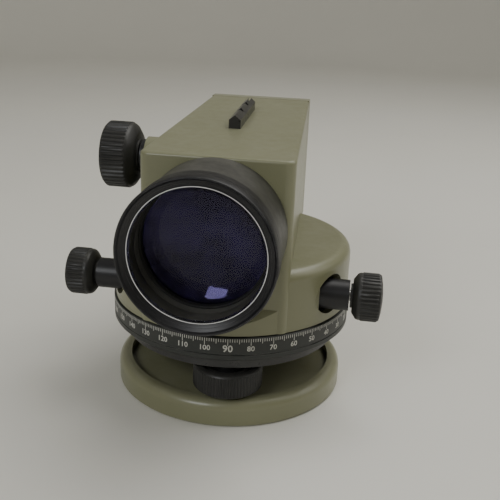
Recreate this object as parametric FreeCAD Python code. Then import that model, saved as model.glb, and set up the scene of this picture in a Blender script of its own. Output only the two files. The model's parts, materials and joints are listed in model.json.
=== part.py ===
import FreeCAD, Part
import math
import os
from FreeCAD import Vector

# Automatic level: millimetres, +Z up along the standing axis, origin at the tripod thread's mouth
# on the underside of the base. The objective looks along -Y and the observer stands at +Y.

# ---------------------------------------------------------------- driving dimensions
# Standing axis, from the tripod upwards
base_radius = 56.0
base_height = 12.4
base_edge_round = 4.2
base_foot_chamfer = 1.0
base_rim_width = 6.0
base_recess_depth = 4.0
base_relief_depth = 1.2
tripod_thread_radius = 6.75
tripod_bush_radius = 9.5
tripod_bush_stand = 1.6
base_hub_wall = 4.0

foot_turn = 8.5
foot_inset = 15.0
foot_stem_radius = 4.0
foot_ball_stand = 0.5
foot_ball_depth = 5.0
foot_gap = 1.6
foot_knob_radius = 16.0
foot_knob_height = 12.0
foot_knob_round = 1.4
foot_cup_radius = 12.6
foot_cup_depth = 6.0
foot_collar_width = 2.2
foot_collar_stand = 4.4
foot_stem_drop = 2.0

spring_plate_thickness = 0.8
spring_plate_lift = 1.8
spring_lobe_radius = 8.0
spring_arm_width = 11.0

tribrach_gap = 2.2
tribrach_rim = 11.0
tribrach_thickness = 5.8
foot_bush_wall = 1.3
neck_depth = 5.7
neck_wall = 1.0
neck_play = 0.9
register_radius = 49.6
register_wall = 3.2
register_height = 4.4
hub_wall = 8.0
hub_height = 6.0

circle_gap = 0.6
circle_radius = 58.0
circle_height = 10.9
circle_wall = 4.0
circle_flange = 3.2

spindle_radius = 10.0
spindle_shoulder = 5.0
spindle_shoulder_height = 3.0
axis_bush_wall = 4.0
axis_bush_flange_reach = 11.0
axis_bush_flange = 2.4
axis_nut_wall = 4.5
axis_nut_height = 3.6
axis_nut_slots = 4
axis_nut_slot_depth = 2.0
axis_nut_slot_width = 2.4

# Upper casting
body_gap = 0.5
body_wall = 3.2
drum_radius = 57.2
drum_height = 28.0
drum_edge_round = 5.0
floor_thickness = 4.0
sight_line_height = 45.1
front_face_y = -49.5
front_half_width = 33.0
rear_half_width = 27.4
rear_joint_y = 75.0
front_roof_above_sight = 31.3
rear_roof_above_sight = 38.7
box_under_below_sight = 27.1
front_slope_low = 3.0
front_slope_high = 11.0
box_corner_round = 4.0
box_edge_round = 1.5
gasket_thickness = 0.8
gasket_inset = 1.2
cover_depth = 9.8
cover_edge_round = 2.2

# Objective end
objective_tube_radius = 31.0
objective_wall = 4.4
objective_length = 37.3
bezel_stand = 0.75
bezel_length = 10.6
bezel_thread_wall = 1.8
bezel_edge = 0.6
bezel_lip = 1.0
bezel_cone_depth = 2.8
tube_spigot_wall = 0.3
tube_spigot_length = 3.0
lens_seat_width = 2.4
retaining_ring_depth = 15.3
retaining_ring_width = 1.9
retaining_ring_length = 2.9
retaining_notch_width = 1.6
retaining_notch_depth = 1.2
retaining_notch_turn = 35.0
front_lens_edge = 4.5
front_lens_bulge = 2.6
rear_lens_edge = 3.8

# Focusing drive
focus_y = 4.0
focus_above_sight = 17.5
focus_knob_radius = 16.0
focus_knob_gap = 1.8
focus_knob_length = 15.4
focus_knob_dome = 1.6
focus_shaft_radius = 2.0
focus_boss_radius = 9.5
focus_boss_stand = 13.4
focus_bush_radius = 5.0
focus_bush_flange_reach = 3.0
focus_bush_flange = 2.4
focus_module = 0.6
focus_pinion_teeth = 14
focus_pinion_width = 4.4
focus_backlash = 0.22
cell_radius = 14.2
cell_wall = 1.6
cell_length = 28.0
cell_advance = 6.0
rack_width = 3.4
rack_length = 26.0
rack_stand = 1.1
focus_travel = 8.0
inner_barrel_wall = 1.35
inner_barrel_flange_inset = 0.6
inner_barrel_flange = 2.5
inner_barrel_throat_y = -24.0
inner_barrel_rear_y = 24.0
focusing_lens_edge = 5.0
focusing_lens_hollow = 1.3
focusing_lens_curve = 3.0
rack_web_share = 0.667
rack_height = 8.5

# Tangent drive
tangent_above_body = 12.35
worm_pitch_radius = 4.0
wheel_pitch_radius = 23.35
wheel_teeth = 60
wheel_thickness = 6.0
worm_turns = 8
worm_backlash = 0.34
worm_shaft_radius = 2.5
tangent_sleeve_radius = 7.0
tangent_sleeve_length = 20.4
tangent_sleeve_stand = 1.2
tangent_recess_radius = 9.2
tangent_knob_gap = 1.4
tangent_knob_radius = 11.0
tangent_knob_length = 12.0
tangent_knob_dome = 1.5

# Compensator
compensator_gap = 4.0
compensator_length = 32.0
compensator_half_width = 18.5
compensator_wall = 3.0
shelf_below_sight = 21.1
bridge_above_sight = 18.9
bridge_width = 8.0
prism_height = 18.0
prism_depth = 8.0
prism_inset = 1.0
prism_top_share = 0.333
pendulum_half_width = 13.0
pendulum_arm = 2.0
pendulum_drop = 23.0
pendulum_bar = 4.0
pendulum_beam = 3.0
pendulum_tray = 2.0
pendulum_prism_depth = 9.0
pendulum_prism_height = 13.0
damper_radius = 4.0
damper_gap = 1.6
damper_wall = 1.6
wire_radius = 0.2
wire_half_spread = 1.5

# Eyepiece end
mount_radius = 13.0
mount_wall = 2.0
mount_inset = 9.0
mount_rear_reach = 18.8
mount_flange_reach = 5.0
mount_flange = 3.0
reticle_radius = 8.0
reticle_thickness = 1.5
reticle_cell_length = 4.0
reticle_cell_inset = 2.0
reticle_seat = 1.0
reticle_screw_radius = 0.8
reticle_screw_stand = 1.5
eyepiece_wall = 1.6
eyepiece_start = 4.0
eyepiece_cap_reach = 3.0
eyepiece_cap_length = 3.8
diopter_reach = 4.5
diopter_lip = 1.0
diopter_length = 16.0
diopter_travel = 1.5
eyepiece_lens_inset = 1.0
field_lens_length = 4.0
eye_lens_length = 3.4
eye_lens_bulge = 1.4
eyecup_length = 9.0
eyecup_wall = 1.6
eyecup_root = 2.0
eyecup_flare = 3.0
eyecup_edge = 0.6
eyecup_waist = 1.8
eyecup_slope = 0.4

# Sight, circular level and mirror
sight_x = -1.2
sight_front_y = 0.0
sight_length = 45.0
sight_width = 5.6
sight_side_height = 4.0
sight_ridge_height = 6.3
sight_notch_width = 1.4
sight_notch_length = 8.0
sight_screw_radius = 1.0
sight_screw_head_radius = 1.6
sight_screw_head = 1.2
sight_screw_sink = 1.0
level_gap = 1.3
level_y = 24.0
level_radius = 8.0
level_height = 9.0
level_pad_height = 1.0
level_pad_margin = 1.0
level_wall = 1.8
vial_height = 6.0
vial_sink = 1.0
vial_edge_round = 0.8
level_ear_height = 4.0
level_post_half = 2.0
mirror_length = 16.0
mirror_thickness = 1.6
mirror_pin_radius = 0.9
mirror_ear = 1.6
mirror_lift = 2.4
mirror_rim = 1.0
mirror_root = 2.5
mirror_working_angle = 45.0

# Screws and fits
cover_screw_radius = 1.5
cover_screw_head_radius = 2.8
cover_screw_head = 1.8
screw_slot_width = 0.7
screw_slot_depth = 0.7
screw_recess = 0.2
screw_tip_room = 1.0
screw_hole_room = 2.0
screw_boss_radius = 4.0
cover_boss_length = 12.0
cover_boss_inset = 7.0
floor_screw_inset = 8.2
floor_screw_angles = (0, 60, 120, 180, 250, 290)
floor_boss_height = 9.0
running_fit = 0.05
loose_fit = 0.1
body_clearance = 0.3

# Shape of the gear teeth, in modules, and of the domed knobs, in shares of their size
tooth_tip = 0.85
tooth_root = 1.15
tooth_tip_spread = 0.5
tooth_root_spread = 1.45
thread_tip = 0.8
thread_root = 1.1
thread_foot_spread = 0.36
thread_tip_spread = 0.3
knob_hub_share = 0.68
knob_bevel_share = 0.94
knob_face_share = 0.95
knob_bevel_along = 0.16
knob_grip_along = 0.24
knob_grip_end = 0.94

# ---------------------------------------------------------------- places worked out from the sizes
base_recess_radius = base_radius - base_rim_width
foot_pitch_radius = base_radius - foot_inset
foot_ball_radius = foot_stem_radius + foot_ball_stand
neck_radius = foot_stem_radius + neck_play + foot_bush_wall + neck_wall
tribrach_radius = foot_pitch_radius + tribrach_rim
hub_radius = spindle_radius + hub_wall
spindle_shoulder_radius = spindle_radius + spindle_shoulder
axis_bush_flange_radius = spindle_radius + axis_bush_flange_reach
axis_nut_radius = spindle_radius + axis_nut_wall
base_floor = base_height - base_recess_depth
ball_centre = base_floor - foot_ball_depth + foot_ball_radius
knob_bottom = base_height + foot_gap
knob_top = knob_bottom + foot_knob_height
tribrach_bottom = knob_top + tribrach_gap
tribrach_top = tribrach_bottom + tribrach_thickness
circle_bottom = tribrach_top + circle_gap
circle_top = circle_bottom + circle_height
body_bottom = circle_top + body_gap
hub_top = tribrach_top + hub_height
shoulder_top = hub_top + spindle_shoulder_height
floor_top = body_bottom + floor_thickness
drum_top = body_bottom + drum_height
sight_z = body_bottom + sight_line_height
box_bottom = sight_z - box_under_below_sight
objective_bore_radius = objective_tube_radius - objective_wall
objective_front_y = front_face_y - objective_length
bezel_radius = objective_tube_radius + bezel_stand
bezel_thread_radius = objective_bore_radius + bezel_thread_wall
tube_spigot_radius = objective_bore_radius + tube_spigot_wall
inner_barrel_flange_radius = objective_bore_radius - inner_barrel_flange_inset
floor_screw_circle = drum_radius - floor_screw_inset
tangent_z = body_bottom + tangent_above_body
tangent_y = -(worm_pitch_radius + wheel_pitch_radius)
tangent_sleeve_end = drum_radius + tangent_sleeve_stand
tangent_sleeve_start = tangent_sleeve_end - tangent_sleeve_length
tangent_knob_start = tangent_sleeve_end + tangent_knob_gap
wheel_bottom = tangent_z - wheel_thickness / 2
wheel_top = tangent_z + wheel_thickness / 2
focus_z = sight_z + focus_above_sight
worm_pitch = 2 * math.pi * wheel_pitch_radius / wheel_teeth
worm_module = worm_pitch / math.pi
pinion_pitch_radius = focus_module * focus_pinion_teeth / 2
cover_front_y = rear_joint_y + gasket_thickness
cover_rear_y = cover_front_y + cover_depth
retaining_ring_front = objective_front_y + retaining_ring_depth
lens_front = retaining_ring_front + retaining_ring_length
lens_middle = lens_front + front_lens_edge
lens_rear = lens_middle + rear_lens_edge
rack_foot = focus_z - pinion_pitch_radius - tooth_root * focus_module - rack_height
mount_bore_radius = mount_radius - mount_wall
mount_front_y = rear_joint_y - mount_inset
mount_flange_radius = mount_radius + mount_flange_reach
reticle_front_y = mount_front_y + reticle_cell_inset
reticle_middle_y = reticle_front_y + reticle_cell_length / 2
eyepiece_start_y = rear_joint_y + eyepiece_start
eyepiece_radius = mount_bore_radius - running_fit
eyepiece_cap_radius = mount_radius + eyepiece_cap_reach
diopter_radius = mount_radius + diopter_reach
mount_rear_y = cover_rear_y + mount_rear_reach
diopter_rear_y = mount_rear_y + mount_flange
diopter_front_y = diopter_rear_y - diopter_length
eyepiece_cap_front = diopter_rear_y + diopter_travel + 2 * body_clearance
eyepiece_cap_rear = eyepiece_cap_front + eyepiece_cap_length
compensator_front_y = inner_barrel_rear_y + compensator_gap
prism_z = sight_z - prism_height / 2
pendulum_y = compensator_front_y + compensator_length / 2
shelf_bottom = sight_z - shelf_below_sight
shelf_top = shelf_bottom + compensator_wall
bridge_top = sight_z + bridge_above_sight
bridge_bottom = bridge_top - compensator_wall
pendulum_top = bridge_bottom - 2 * damper_gap
pendulum_low = pendulum_top - pendulum_drop
level_base = drum_top + level_pad_height
level_top = level_base + level_height
mirror_pin_y = level_y - level_radius - mirror_pin_radius - body_clearance
mirror_pin_z = level_top + mirror_lift
mirror_half_width = level_radius - mirror_ear
vial_radius = level_radius - level_wall


def half_width(y):
    """Half the width of the telescope casting at y."""
    share = (y - front_face_y) / (rear_joint_y - front_face_y)
    return front_half_width + share * (rear_half_width - front_half_width)


def roof_height(y):
    """Height of the sloping top of the telescope casting at y."""
    share = (y - front_face_y) / (rear_joint_y - front_face_y)
    return sight_z + front_roof_above_sight + share * (rear_roof_above_sight - front_roof_above_sight)


# These three hang on the casting's taper
focus_boss_reach = half_width(focus_y) + focus_boss_stand
focus_knob_start = focus_boss_reach + focus_bush_flange + focus_knob_gap
level_x = -(half_width(level_y) + level_radius + level_gap)


def foot_places():
    """Centres of the three foot screws, the first one under the objective."""
    angles = [math.radians(foot_turn - 90 + 120 * k) for k in range(3)]
    return [(foot_pitch_radius * math.cos(a), foot_pitch_radius * math.sin(a)) for a in angles]


# ---------------------------------------------------------------- basic shapes
def rod_x(radius, low, high, y, z):
    return Part.makeCylinder(radius, high - low, Vector(low, y, z), Vector(1, 0, 0))


def rod_y(radius, low, high, x=0.0, z=sight_z):
    return Part.makeCylinder(radius, high - low, Vector(x, low, z), Vector(0, 1, 0))


def rod_z(radius, low, high, x=0.0, y=0.0):
    return Part.makeCylinder(radius, high - low, Vector(x, y, low), Vector(0, 0, 1))


def tube_y(outer, inner, low, high, x=0.0, z=sight_z):
    return rod_y(outer, low, high, x, z).cut(rod_y(inner, low - 1, high + 1, x, z))


def tube_z(outer, inner, low, high, x=0.0, y=0.0):
    return rod_z(outer, low, high, x, y).cut(rod_z(inner, low - 1, high + 1, x, y))


def block(x0, x1, y0, y1, z0, z1):
    return Part.makeBox(x1 - x0, y1 - y0, z1 - z0, Vector(x0, y0, z0))


def prism(points, way):
    """Extrude a closed outline of points along a vector."""
    return Part.Face(Part.makePolygon(points + points[:1])).extrude(way)


def turned_y(outline, z=sight_z):
    """Turn an outline of (radius, y) points about the sight line."""
    points = [Vector(radius, y, z) for radius, y in outline]
    return Part.Face(Part.makePolygon(points + points[:1])).revolve(Vector(0, 0, z), Vector(0, 1, 0), 360)


def round_edges(shape, radius, wanted):
    """Round the edges whose centre of mass passes the test."""
    chosen = [edge for edge in shape.Edges if wanted(edge.CenterOfMass, edge)]
    return shape.makeFillet(radius, chosen)


def at_height(z):
    return lambda centre, edge: abs(centre.z - z) < 0.01


def group(shapes):
    return Part.makeCompound(shapes)


def one_solid(shape):
    """The single solid of a boolean result, with needless seams taken out."""
    return shape.removeSplitter().Solids[0]


# ---------------------------------------------------------------- base and foot screws
def base_plate():
    plate = rod_z(base_radius, 0, base_height)
    plate = round_edges(plate, base_edge_round, at_height(base_height))
    bottom = [edge for edge in plate.Edges if abs(edge.CenterOfMass.z) < 0.01]
    plate = plate.makeChamfer(base_foot_chamfer, bottom)
    plate = plate.cut(rod_z(base_recess_radius, base_floor, base_height + 1))
    relief = tube_z(base_recess_radius, tripod_bush_radius + base_hub_wall, -1, base_relief_depth)
    plate = plate.cut(relief).cut(rod_z(tripod_bush_radius, -1, base_height))
    for x, y in foot_places():
        plate = plate.cut(rod_z(foot_ball_radius + loose_fit, base_floor - foot_ball_depth - loose_fit,
                                base_height, x, y))
    return one_solid(plate)


def tripod_bush():
    return tube_z(tripod_bush_radius, tripod_thread_radius, 0, base_floor + tripod_bush_stand)


def spring_plate():
    low = base_floor + spring_plate_lift
    high = low + spring_plate_thickness
    plate = rod_z(tripod_bush_radius + spring_lobe_radius, low, high)
    for k, (x, y) in enumerate(foot_places()):
        arm = block(0, foot_pitch_radius, -spring_arm_width / 2, spring_arm_width / 2, low, high)
        arm.rotate(Vector(0, 0, 0), Vector(0, 0, 1), foot_turn - 90 + 120 * k)
        plate = plate.fuse(arm).fuse(rod_z(spring_lobe_radius, low, high, x, y))
    for x, y in foot_places():
        plate = plate.cut(rod_z(foot_stem_radius + neck_play, low - 1, high + 1, x, y))
    plate = plate.cut(rod_z(tripod_bush_radius + tripod_bush_stand, low - 1, high + 1))
    return one_solid(plate)


def foot_stem(x, y):
    ball = Part.makeSphere(foot_ball_radius, Vector(x, y, ball_centre))
    stem = rod_z(foot_stem_radius, ball_centre, tribrach_top - foot_stem_drop, x, y)
    return one_solid(ball.fuse(stem))


def foot_knob(x, y):
    knob = rod_z(foot_knob_radius, knob_bottom, knob_top, x, y)
    rims = [edge for edge in knob.Edges if len(edge.Vertexes) == 1]
    knob = knob.makeFillet(foot_knob_round, rims)
    cup_floor = knob_top - foot_cup_depth
    knob = knob.cut(rod_z(foot_cup_radius, cup_floor, knob_top + 1, x, y))
    inner = neck_radius + neck_play + body_clearance
    collar = tube_z(inner + foot_collar_width, inner, cup_floor, cup_floor + foot_collar_stand, x, y)
    knob = knob.fuse(collar).cut(rod_z(foot_stem_radius, knob_bottom - 1, knob_top, x, y))
    return one_solid(knob)


# ---------------------------------------------------------------- tribrach, spindle and circle
def tribrach_plate():
    plate = rod_z(tribrach_radius, tribrach_bottom, tribrach_top)
    plate = plate.fuse(tube_z(register_radius, register_radius - register_wall,
                              tribrach_top, tribrach_top + register_height))
    plate = plate.fuse(rod_z(hub_radius, tribrach_top, hub_top))
    for x, y in foot_places():
        plate = plate.fuse(rod_z(neck_radius, tribrach_bottom - neck_depth, tribrach_bottom, x, y))
    for x, y in foot_places():
        plate = plate.cut(rod_z(neck_radius - neck_wall, 0, tribrach_top + 1, x, y))
    return one_solid(plate.cut(rod_z(spindle_radius, tribrach_bottom - 1, hub_top + 1)))


def foot_bushes():
    low = tribrach_bottom - neck_depth
    bore = foot_stem_radius + neck_play
    return group([tube_z(neck_radius - neck_wall, bore, low, tribrach_top, x, y) for x, y in foot_places()])


def axis_spindle():
    spindle = rod_z(spindle_radius, tribrach_bottom, wheel_top + body_clearance + axis_nut_height)
    return one_solid(spindle.fuse(rod_z(spindle_shoulder_radius, hub_top, shoulder_top)))


def axis_nut():
    low = wheel_top + body_clearance
    nut = tube_z(axis_nut_radius, spindle_radius, low, low + axis_nut_height)
    half = axis_nut_slot_width / 2
    for k in range(axis_nut_slots):
        slot = block(axis_nut_radius - axis_nut_slot_depth, axis_nut_radius + 1, -half, half,
                     low - 1, low + axis_nut_height + 1)
        slot.rotate(Vector(0, 0, 0), Vector(0, 0, 1), 360 / axis_nut_slots * k)
        nut = nut.cut(slot)
    return one_solid(nut)


def horizontal_circle():
    ring = tube_z(circle_radius, circle_radius - circle_wall, circle_bottom, circle_top)
    flange = tube_z(circle_radius - circle_wall / 2, register_radius + loose_fit,
                    circle_bottom, circle_bottom + circle_flange)
    return one_solid(ring.fuse(flange))


# ---------------------------------------------------------------- upper casting
def telescope_block(front, rear, low, inset):
    """Tapering block of the telescope casting, moved in from its outer faces by inset."""
    plan = [Vector(-half_width(front) + inset, front, low), Vector(half_width(front) - inset, front, low),
            Vector(half_width(rear) - inset, rear, low), Vector(-half_width(rear) + inset, rear, low)]
    tall = prism(plan, Vector(0, 0, 2 * roof_height(rear_joint_y)))
    reach = 2 * front_half_width
    side = [Vector(-reach, front, low), Vector(-reach, rear, low),
            Vector(-reach, rear, roof_height(rear) - inset),
            Vector(-reach, front, roof_height(front) - inset)]
    return tall.common(prism(side, Vector(2 * reach, 0, 0)))


def round_box(shape):
    """Round the front uprights, then the edges of the roof."""
    def upright(centre, edge):
        return abs(centre.y - front_face_y) < 0.01 and abs(centre.x) > 0.9 * front_half_width

    def roof(centre, edge):
        return centre.z > roof_height(centre.y) - 0.05 and centre.y < rear_joint_y - 0.01

    shape = round_edges(shape, box_corner_round, upright)
    return round_edges(shape, box_edge_round, roof)


def drum_outer():
    drum = rod_z(drum_radius, body_bottom, drum_top)
    drum = round_edges(drum, drum_edge_round, at_height(drum_top))
    low = body_bottom + front_slope_low
    high = body_bottom + front_slope_high
    outline = [
        Vector(-drum_radius, -drum_radius - 1, low),
        Vector(-drum_radius, front_face_y, high),
        Vector(-drum_radius, front_face_y, drum_top + 1),
        Vector(-drum_radius, -drum_radius - 1, drum_top + 1),
    ]
    return drum.cut(prism(outline, Vector(2 * drum_radius, 0, 0)))


def body_cavity():
    """Hollow of the casting: the drum, its front slope, the telescope and the well that joins them."""
    inner = drum_radius - body_wall
    drum = rod_z(inner, body_bottom - 1, drum_top - body_wall)
    ledge = floor_top + 2 * body_clearance
    front = front_face_y + body_wall
    drum = drum.cut(block(-drum_radius, drum_radius, -2 * drum_radius, front, ledge, drum_top))
    box = telescope_block(front, rear_joint_y + 1, box_bottom + body_wall, body_wall)
    well = telescope_block(front, rear_joint_y, drum_top - 2 * body_wall, body_wall)
    well = well.common(rod_z(inner, drum_top - 2 * body_wall, sight_z))
    return drum.fuse(box).fuse(well)


def cover_screw_places():
    """(x, z) of the four screws that hold the rear cover."""
    low = box_bottom + cover_boss_inset
    high = roof_height(rear_joint_y) - cover_boss_inset
    x = half_width(rear_joint_y) - cover_boss_inset
    return [(-x, low), (x, low), (-x, high), (x, high)]


def floor_screw_places():
    angles = [math.radians(a) for a in floor_screw_angles]
    return [(floor_screw_circle * math.cos(a), floor_screw_circle * math.sin(a)) for a in angles]


def add_screw_bosses(body):
    boss_top = floor_top + floor_boss_height
    outer = rod_z(drum_radius - body_wall / 2, floor_top, boss_top)
    for x, y in floor_screw_places():
        body = body.fuse(rod_z(screw_boss_radius, floor_top, boss_top, x, y).common(outer))
    for x, y in floor_screw_places():
        body = body.cut(rod_z(cover_screw_radius, floor_top - 1, boss_top - screw_hole_room, x, y))
    start = rear_joint_y - cover_boss_length
    for x, z in cover_screw_places():
        ends = sorted([x, math.copysign(half_width(rear_joint_y) - body_wall / 2, x)])
        web = block(ends[0], ends[1], start, rear_joint_y, z - screw_boss_radius, z + screw_boss_radius)
        body = body.fuse(rod_y(screw_boss_radius, start, rear_joint_y, x, z)).fuse(web)
    for x, z in cover_screw_places():
        body = body.cut(rod_y(cover_screw_radius, start + screw_hole_room, rear_joint_y + 1, x, z))
    return body


def add_side_fittings(body):
    """Focusing boss, tangent screw recesses and the pad under the circular level."""
    wall = half_width(focus_y)
    body = body.fuse(rod_x(focus_boss_radius, -focus_boss_reach, -wall + body_wall / 2, focus_y, focus_z))
    body = body.cut(rod_x(focus_bush_radius, -focus_boss_reach - 1, -wall + 2 * body_wall, focus_y, focus_z))
    pad = rod_z(level_radius + level_pad_margin, drum_top - body_wall / 2, level_base, level_x, level_y)
    body = body.fuse(pad)
    chord = math.sqrt(drum_radius ** 2 - tangent_y ** 2)
    for side in (-1, 1):
        ends = sorted([side * (chord - drum_edge_round), side * (drum_radius + 1)])
        body = body.cut(rod_x(tangent_recess_radius, ends[0], ends[1], tangent_y, tangent_z))
        ends = sorted([side * (chord - drum_edge_round - body_wall), side * (chord - drum_edge_round)])
        cup = rod_x(tangent_recess_radius, ends[0], ends[1], tangent_y, tangent_z)
        body = body.fuse(cup.cut(rod_z(drum_radius, body_bottom, floor_top + body_clearance)))
        ends = sorted([side * (chord - 4 * drum_edge_round), side * (drum_radius + 1)])
        body = body.cut(rod_x(tangent_sleeve_radius, ends[0], ends[1], tangent_y, tangent_z))
    return body


def housing():
    box = round_box(telescope_block(front_face_y, rear_joint_y, box_bottom, 0))
    apron = telescope_block(front_face_y, 0, body_bottom, 0)
    apron = apron.common(block(-front_half_width, front_half_width, front_face_y, 0, body_bottom, box_bottom))
    apron = round_edges(apron, box_corner_round,
                        lambda centre, edge: abs(centre.y - front_face_y) < 0.01
                        and abs(centre.x) > 0.9 * front_half_width)
    body = drum_outer().fuse(apron).fuse(box).cut(body_cavity())
    body = body.cut(rod_y(tube_spigot_radius + loose_fit, front_face_y - 1, front_face_y + 2 * body_wall))
    body = add_side_fittings(add_screw_bosses(body))
    return one_solid(body)


def floor_plate():
    plate = tube_z(drum_radius - body_wall - loose_fit, spindle_radius + axis_bush_wall,
                   body_bottom, floor_top)
    head_top = body_bottom + cover_screw_head
    for x, y in floor_screw_places():
        plate = plate.cut(rod_z(cover_screw_radius, body_bottom - 1, floor_top + 1, x, y))
        plate = plate.cut(rod_z(cover_screw_head_radius, body_bottom - 1, head_top, x, y))
    return one_solid(plate)


def axis_bush():
    low = shoulder_top + body_clearance
    high = floor_top + axis_bush_flange
    bush = rod_z(spindle_radius + axis_bush_wall, low, high)
    bush = bush.fuse(rod_z(axis_bush_flange_radius, floor_top, high))
    return one_solid(bush.cut(rod_z(spindle_radius + running_fit, low - 1, high + 1)))


def floor_screws():
    """Slotted cap screws driven up through the floor plate into the casting's bosses."""
    top = floor_top + floor_boss_height - screw_hole_room - screw_tip_room
    half = screw_slot_width / 2
    screws = []
    for x, y in floor_screw_places():
        head = rod_z(cover_screw_head_radius, body_bottom, body_bottom + cover_screw_head, x, y)
        slot = block(x - cover_screw_head_radius, x + cover_screw_head_radius, y - half, y + half,
                     body_bottom - 1, body_bottom + screw_slot_depth)
        screws.append(one_solid(head.fuse(rod_z(cover_screw_radius, body_bottom, top, x, y)).cut(slot)))
    return group(screws)


def rear_profile(inset, front, depth):
    """Slice of the casting's rear outline, used by the gasket and the rear cover."""
    low = box_bottom + inset
    x = half_width(rear_joint_y) - inset
    high = roof_height(rear_joint_y) - inset
    return block(-x, x, front, front + depth, low, high)


def cover_gasket():
    outer = rear_profile(gasket_inset, rear_joint_y, gasket_thickness)
    gasket = outer.cut(rear_profile(body_wall, rear_joint_y - 1, gasket_thickness + 2))
    return one_solid(gasket)


def rear_cover():
    cover = rear_profile(0, cover_front_y, cover_depth)
    cover = round_edges(cover, cover_edge_round,
                        lambda centre, edge: abs(centre.y - cover_rear_y) < 0.01
                        or (abs(centre.x) < 0.01 and centre.z > sight_z and centre.y > cover_rear_y - 0.01))
    cover = cover.cut(rear_profile(body_wall, cover_front_y - 1, cover_depth - body_wall + 1))
    head = cover_rear_y - cover_screw_head
    for x, z in cover_screw_places():
        cover = cover.fuse(rod_y(screw_boss_radius, cover_front_y, cover_rear_y - body_wall / 2, x, z))
    for x, z in cover_screw_places():
        cover = cover.cut(rod_y(cover_screw_radius, cover_front_y - 1, cover_rear_y + 1, x, z))
        cover = cover.cut(rod_y(cover_screw_head_radius, head, cover_rear_y + 1, x, z))
    return one_solid(cover.cut(rod_y(mount_radius, cover_front_y, cover_rear_y + 1)))


def rear_cover_screws():
    tip = rear_joint_y - cover_boss_length + screw_hole_room + screw_tip_room
    face = cover_rear_y - screw_recess
    half = screw_slot_width / 2
    screws = []
    for x, z in cover_screw_places():
        shank = rod_y(cover_screw_radius, tip, face, x, z)
        head = rod_y(cover_screw_head_radius, cover_rear_y - cover_screw_head, face, x, z)
        slot = block(x - cover_screw_head_radius, x + cover_screw_head_radius,
                     face - screw_slot_depth, cover_rear_y + 1, z - half, z + half)
        screws.append(one_solid(shank.fuse(head).cut(slot)))
    return group(screws)


# ---------------------------------------------------------------- objective
def objective_tube():
    shoulder = objective_front_y + bezel_length
    tip = objective_front_y + bezel_cone_depth
    spigot = front_face_y + tube_spigot_length
    bore = objective_bore_radius
    rear_bore = bore - lens_seat_width
    return turned_y([(bore, tip), (bezel_thread_radius, tip), (bezel_thread_radius, shoulder),
                     (objective_tube_radius, shoulder), (objective_tube_radius, front_face_y),
                     (tube_spigot_radius, front_face_y), (tube_spigot_radius, spigot),
                     (rear_bore, spigot), (rear_bore, lens_rear), (bore, lens_rear)])


def objective_bezel():
    rear = objective_front_y + bezel_length
    tip = objective_front_y + bezel_cone_depth
    lip = objective_bore_radius + bezel_lip
    front = bezel_radius - bezel_edge
    side = objective_front_y + bezel_edge
    return turned_y([(front, objective_front_y), (bezel_radius, side), (bezel_radius, rear),
                     (bezel_thread_radius, rear), (bezel_thread_radius, tip), (lip, tip)])


def lens_retaining_ring():
    inner = objective_bore_radius - retaining_ring_width
    ring = tube_y(objective_bore_radius, inner, retaining_ring_front, lens_front)
    half = retaining_notch_width / 2
    for turn in (0, 180):
        notch = block(-half, half, retaining_ring_front - 1, retaining_ring_front + retaining_notch_depth,
                      inner - 1, bezel_radius)
        notch.translate(Vector(0, 0, sight_z))
        notch.rotate(Vector(0, 0, sight_z), Vector(0, 1, 0), retaining_notch_turn + turn)
        ring = ring.cut(notch)
    return one_solid(ring)


def bulged_disc(radius, dome_radius, bulge, front, rear):
    """Lens with a domed front and a flat back, its edge from front to rear."""
    sphere_radius = (dome_radius ** 2 + bulge ** 2) / (2 * bulge)
    ball = Part.makeSphere(sphere_radius, Vector(0, front - bulge + sphere_radius, sight_z))
    dome = ball.common(rod_y(dome_radius, front - bulge - 1, front))
    return one_solid(dome.fuse(rod_y(radius, front, rear)))


def objective_front_lens():
    dome = objective_bore_radius - retaining_ring_width - loose_fit
    return bulged_disc(objective_bore_radius - running_fit, dome, front_lens_bulge, lens_front, lens_middle)


def objective_rear_lens():
    return rod_y(objective_bore_radius - running_fit, lens_middle, lens_rear)


# ---------------------------------------------------------------- focusing drive
def tooth_outline(teeth, pitch_radius, module, backlash, turn):
    """Outline of a spur gear with straight-sided teeth, as (across, up) points."""
    tip = pitch_radius + tooth_tip * module
    root = pitch_radius - tooth_root * module
    half = math.pi / (2 * teeth) - backlash / (2 * pitch_radius)
    points = []
    for k in range(teeth):
        middle = turn + 2 * math.pi * k / teeth
        for radius, spread in ((root, -tooth_root_spread), (tip, -tooth_tip_spread),
                               (tip, tooth_tip_spread), (root, tooth_root_spread)):
            angle = middle + spread * half
            points.append((radius * math.cos(angle), radius * math.sin(angle)))
    return points


def focus_shaft():
    middle = -(cell_radius + rack_stand + rack_width / 2)
    low = middle - focus_pinion_width / 2
    high = middle + focus_pinion_width / 2
    outline = tooth_outline(focus_pinion_teeth, pinion_pitch_radius, focus_module, focus_backlash,
                            -math.pi / 2)
    pinion = prism([Vector(low, focus_y + a, focus_z + b) for a, b in outline],
                   Vector(focus_pinion_width, 0, 0))
    shaft = rod_x(focus_shaft_radius, -focus_knob_start - focus_knob_length / 2, high, focus_y, focus_z)
    return one_solid(pinion.fuse(shaft))


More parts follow.
